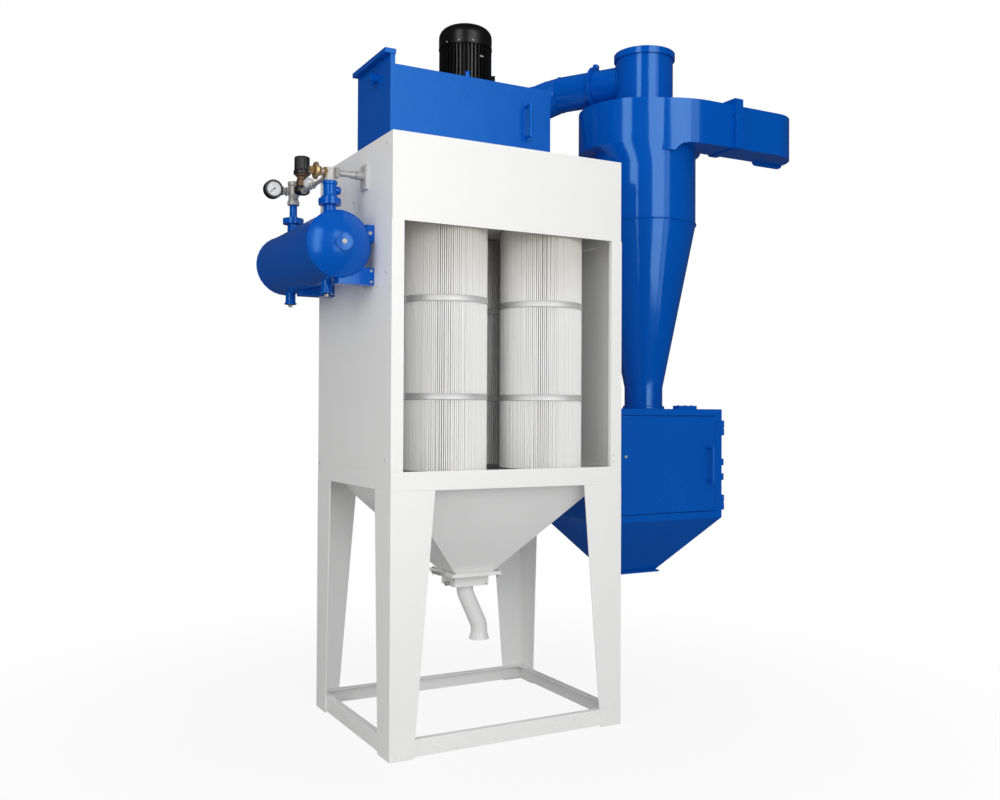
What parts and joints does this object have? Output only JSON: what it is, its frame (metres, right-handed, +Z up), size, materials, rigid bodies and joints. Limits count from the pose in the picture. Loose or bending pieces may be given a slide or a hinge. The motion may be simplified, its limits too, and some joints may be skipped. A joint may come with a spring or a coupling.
{
  "type": "cartridge dust collector",
  "caption": "White filter cabinet on a leg frame with pleated cartridges, rooftop fan, blue cyclone pre-separator with dust box, and a side air tank.",
  "frame": {"origin": "centre of the cabinet's leg footprint, on the floor", "axes": "+Z up, -Y towards the open front of the cabinet, +X towards the cyclone"},
  "size_m": [2.2175, 0.881, 2.761],
  "materials": {
    "white_paint": "satin white powder coat",
    "blue_paint": "glossy blue enamel",
    "black_paint": "semi-gloss black paint",
    "filter_media": "pleated white filter media",
    "galvanised_band": "galvanised strap",
    "fitting_steel": "zinc plated fittings",
    "regulator_black": "black knob and body"
  },
  "bodies": {
    "collector": {"air_regulator": "regulator_black", "air_tank_brackets": "blue_paint", "air_tank_ends": "blue_paint", "air_tank_nozzles": "blue_paint", "air_tank_shell": "blue_paint", "back_panel": "white_paint", "cartridge_bands": "galvanised_band", "cartridge_front_left": "filter_media", "cartridge_front_right": "filter_media", "cartridge_rear_left": "filter_media", "cartridge_rear_right": "filter_media", "clean_air_plenum": "white_paint", "cyclone_barrel": "blue_paint", "cyclone_bracket": "blue_paint", "cyclone_cone": "blue_paint", "cyclone_head": "blue_paint", "discharge_spout": "white_paint", "dust_box": "blue_paint", "dust_box_brackets": "blue_paint", "dust_hopper": "blue_paint", "fan_end_frame": "blue_paint", "fan_housing": "blue_paint", "foot_rail_front": "white_paint", "foot_rail_left": "white_paint", "foot_rail_rear": "white_paint", "foot_rail_right": "white_paint", "hopper": "white_paint", "inlet_elbow": "blue_paint", "inlet_hood": "blue_paint", "leg_front_left": "white_paint", "leg_front_right": "white_paint", "leg_rear_left": "white_paint", "leg_rear_right": "white_paint", "motor_body": "black_paint", "motor_cowl": "black_paint", "opening_jamb_left": "white_paint", "opening_jamb_right": "white_paint", "outlet_cap": "blue_paint", "outlet_pipe": "blue_paint", "pressure_gauge": "fitting_steel", "side_panel_left": "white_paint", "side_panel_right": "white_paint", "slide_gate": "white_paint", "supply_pipe": "fitting_steel", "top_frame": "white_paint", "transfer_duct": "blue_paint", "tube_sheet": "white_paint"},
    "door": {"dust_box_door": "blue_paint"}
  },
  "joints": [
    {"name": "dust_box_door_hinge", "type": "hinge", "parent": "collector", "child": "door", "pos_m": [0.549, -0.3, 0.9], "axis": [0, 0, -1], "range_deg": [0, 95]}
  ]
}
